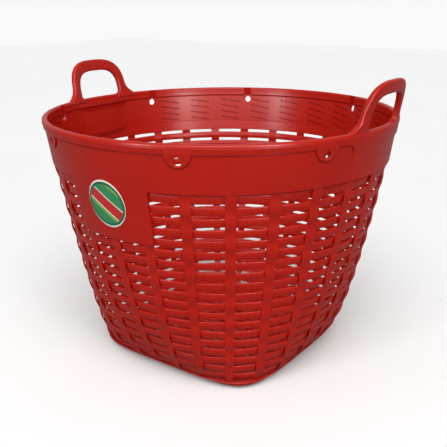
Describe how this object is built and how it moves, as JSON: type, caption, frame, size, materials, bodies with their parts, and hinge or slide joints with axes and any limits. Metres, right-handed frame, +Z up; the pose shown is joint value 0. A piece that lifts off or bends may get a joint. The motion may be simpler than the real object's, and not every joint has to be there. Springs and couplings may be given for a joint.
{
  "type": "two-handled basket-weave tub",
  "caption": "Round-mouthed plastic basket with a square base, a woven-look slotted wall, a plain upper band, holed rim lugs and loop handles.",
  "frame": {"origin": "centre of the base, on the plane that the basket stands on", "axes": "+X towards the right handle, with a handle on +X and one on -X; +Y towards the side opposite the label; +Z up; the square base's sides lie along X and Y"},
  "size_m": [0.5224, 0.5, 0.411],
  "materials": {
    "basket_plastic": "satin, lightly grained",
    "label_print": "printed film"
  },
  "bodies": {
    "root": {"rim_lip": "basket_plastic", "rim_collar": "basket_plastic", "band_top": "basket_plastic", "upper_band": "basket_plastic", "attachment_lugs": "basket_plastic", "handle_left": "basket_plastic", "handle_right": "basket_plastic", "handle_pads": "basket_plastic", "label_panel": "basket_plastic", "base_edge": "basket_plastic", "base_floor": "basket_plastic", "staves_right": "basket_plastic", "staves_back": "basket_plastic", "staves_left": "basket_plastic", "staves_front": "basket_plastic", "strand_01": "basket_plastic", "strand_02": "basket_plastic", "strand_03": "basket_plastic", "strand_04": "basket_plastic", "strand_05": "basket_plastic", "strand_06": "basket_plastic", "strand_07": "basket_plastic", "strand_08": "basket_plastic", "strand_09": "basket_plastic", "strand_10": "basket_plastic", "strand_11": "basket_plastic", "strand_12": "basket_plastic", "strand_13": "basket_plastic", "strand_14": "basket_plastic", "strand_15": "basket_plastic", "strand_16": "basket_plastic", "strand_17": "basket_plastic", "strand_18": "basket_plastic", "strand_19": "basket_plastic", "label_sticker": "label_print"}
  },
  "joints": []
}
